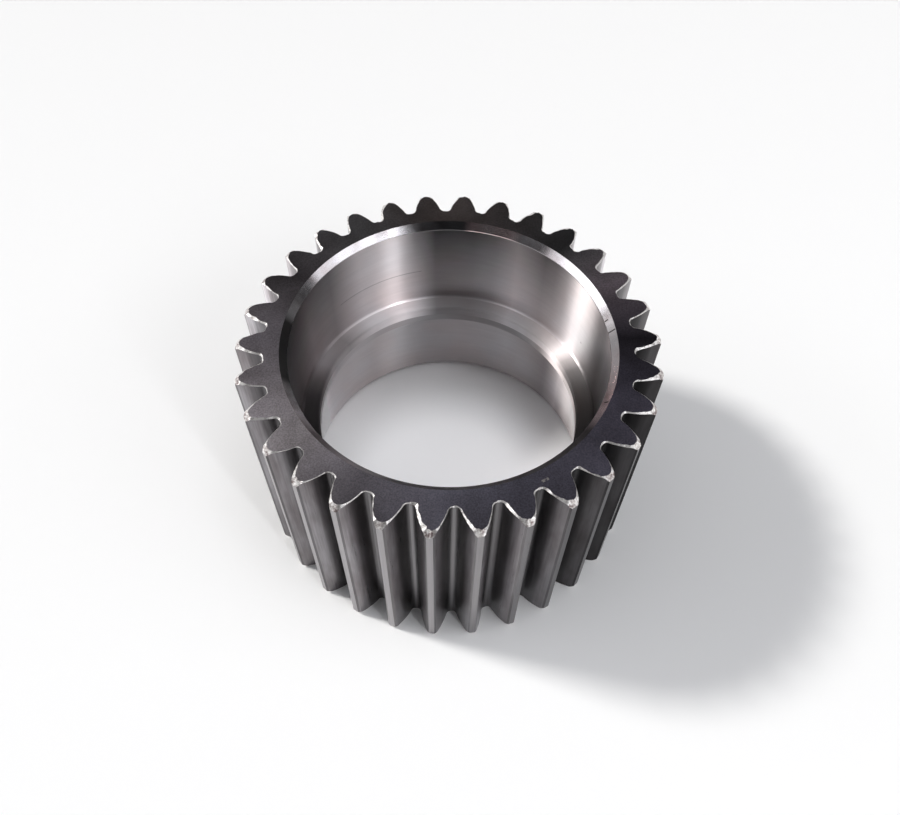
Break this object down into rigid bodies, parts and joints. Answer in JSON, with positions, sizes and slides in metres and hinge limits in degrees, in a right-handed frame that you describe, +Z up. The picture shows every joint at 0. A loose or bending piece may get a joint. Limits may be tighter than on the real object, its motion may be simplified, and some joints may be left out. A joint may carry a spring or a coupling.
{
  "type": "planet gear",
  "caption": "Steel planet gear: a thick spur gear ring with a ground through bore for two bearings, parted by a narrow rib, with dark oxide faces and bright deburred tooth edges.",
  "frame": {"origin": "centre of the lower end face, on the gear's axis", "axes": "+Z up along the gear's axis; one tooth is centred on +X"},
  "size_m": [0.112, 0.1116, 0.067],
  "materials": {
    "gear_steel": "dark oxide, ground bore"
  },
  "bodies": {
    "root": {"planet_gear": "gear_steel"}
  },
  "joints": []
}
